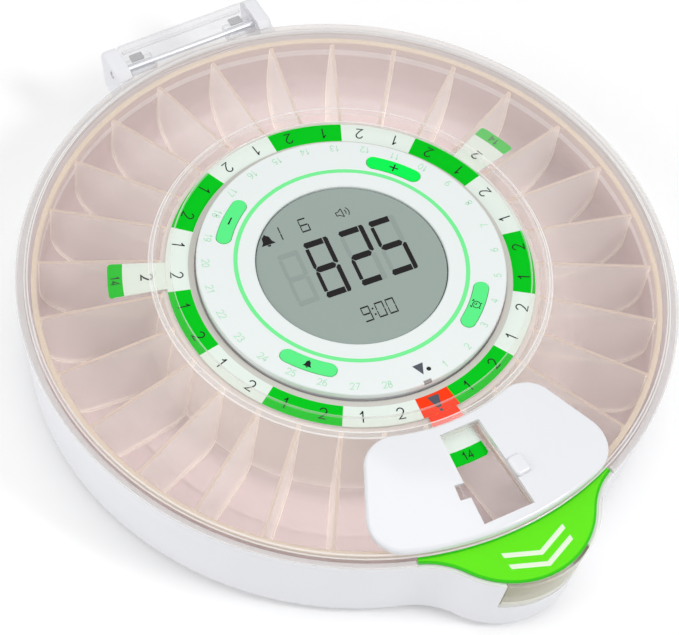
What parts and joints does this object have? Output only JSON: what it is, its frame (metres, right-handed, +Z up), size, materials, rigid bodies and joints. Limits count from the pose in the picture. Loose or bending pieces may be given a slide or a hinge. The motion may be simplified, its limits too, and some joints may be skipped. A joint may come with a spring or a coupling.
{
  "type": "electronic pill box",
  "caption": "Round automatic pill dispenser: a ring tray of wedge compartments turns under a clear hinged lid with a sliding window, round a hub with a display and buttons.",
  "frame": {"origin": "under the middle of the box's outline, at the plane of the feet's soles; the tray's turning axis is 1.75 mm behind it", "axes": "+Z up along the tray's axis; +Y from the nose with the opening tab towards the lid's hinge; +X to the right seen from the nose"},
  "size_m": [0.203, 0.2294, 0.0408],
  "materials": {
    "white_shell": "satin white",
    "hub_face": "white with a thin mint ring and pale green numbers",
    "white_window": "gloss white",
    "clear_lid": "clear with a faint warm tint",
    "tray_clear": "translucent with a warm tint",
    "card_print": "printed card, white and green cells with one red cell",
    "label_green": "lime green",
    "button_green": "bright green",
    "display_lens": "clear over a grey-green display",
    "display_panel": "grey-green display",
    "lamp": "dark",
    "circuit_board": "green board",
    "black_plastic": "black",
    "switch": "metal",
    "steel": "bright steel",
    "cell": "dark wrapped cell",
    "gear_plastic": "natural plastic",
    "foot_rubber": "matt rubber"
  },
  "bodies": {
    "base": {"Base_Shell": "white_shell", "Bottom_Cover": "white_shell", "Battery_Door": "white_shell", "Hub_Faceplate": "hub_face", "Display_Lens": "display_lens", "Display_Panel": "display_panel", "Alarm_Lamp": "lamp", "Circuit_Board": "circuit_board", "Buzzer": "black_plastic", "Gear_Motor": "steel", "Hinge_Rod": "steel", "Battery_Contact_Left": "steel", "Battery_Contact_Right": "steel", "Key_Switch_Plus": "switch", "Key_Switch_Minus": "switch", "Key_Switch_Clock": "switch", "Key_Switch_Alarm": "switch", "Battery_Cell_1": "cell", "Battery_Cell_2": "cell", "Battery_Cell_3": "cell", "Battery_Cell_4": "cell", "Cover_Screw_1": "steel", "Cover_Screw_2": "steel", "Cover_Screw_3": "steel", "Cover_Screw_4": "steel", "Board_Screw_1": "steel", "Board_Screw_2": "steel", "Board_Screw_3": "steel", "Door_Screw": "steel", "Foot_1": "foot_rubber", "Foot_2": "foot_rubber", "Foot_3": "foot_rubber", "Foot_4": "foot_rubber"},
    "drive": {"Drive_Pinion": "gear_plastic", "Drive_Shaft": "steel"},
    "tray": {"Pill_Tray": "tray_clear", "Dosage_Ring": "card_print"},
    "lid": {"Lid_Shell": "clear_lid", "Open_Label": "label_green", "Window_Cover": "white_window"},
    "shutter": {"Window_Shutter": "white_window"},
    "plus_button": {"Button_Plus": "button_green"},
    "minus_button": {"Button_Minus": "button_green"},
    "clock_button": {"Button_Clock": "button_green"},
    "alarm_button": {"Button_Alarm": "button_green"}
  },
  "joints": [
    {"name": "lid_hinge", "type": "hinge", "parent": "base", "child": "lid", "pos_m": [0, 0.10575, 0.0316], "axis": [-1, 0, 0], "range_deg": [0, 105]},
    {"name": "shutter_slide", "type": "hinge", "parent": "lid", "child": "shutter", "pos_m": [0, 0.00175, 0.037], "axis": [0, 0, -1], "range_deg": [0, 13.4]},
    {"name": "tray_turn", "type": "hinge", "parent": "base", "child": "tray", "pos_m": [0, 0.00175, 0.02], "axis": [0, 0, 1], "continuous": true},
    {"name": "pinion_spin", "type": "hinge", "parent": "base", "child": "drive", "pos_m": [0.0431, 0.00175, 0.01], "axis": [0, 0, 1], "continuous": true},
    {"name": "plus_press", "type": "slide", "parent": "base", "child": "plus_button", "axis": [0, 0, -1], "range_m": [0, 0.0005], "stiffness_N_per_m": 600},
    {"name": "minus_press", "type": "slide", "parent": "base", "child": "minus_button", "axis": [0, 0, -1], "range_m": [0, 0.0005], "stiffness_N_per_m": 600},
    {"name": "clock_press", "type": "slide", "parent": "base", "child": "clock_button", "axis": [0, 0, -1], "range_m": [0, 0.0005], "stiffness_N_per_m": 600},
    {"name": "alarm_press", "type": "slide", "parent": "base", "child": "alarm_button", "axis": [0, 0, -1], "range_m": [0, 0.0005], "stiffness_N_per_m": 600}
  ],
  "couplings": [
    {"joint": "pinion_spin", "follows": "tray_turn", "ratio": 7.25}
  ]
}
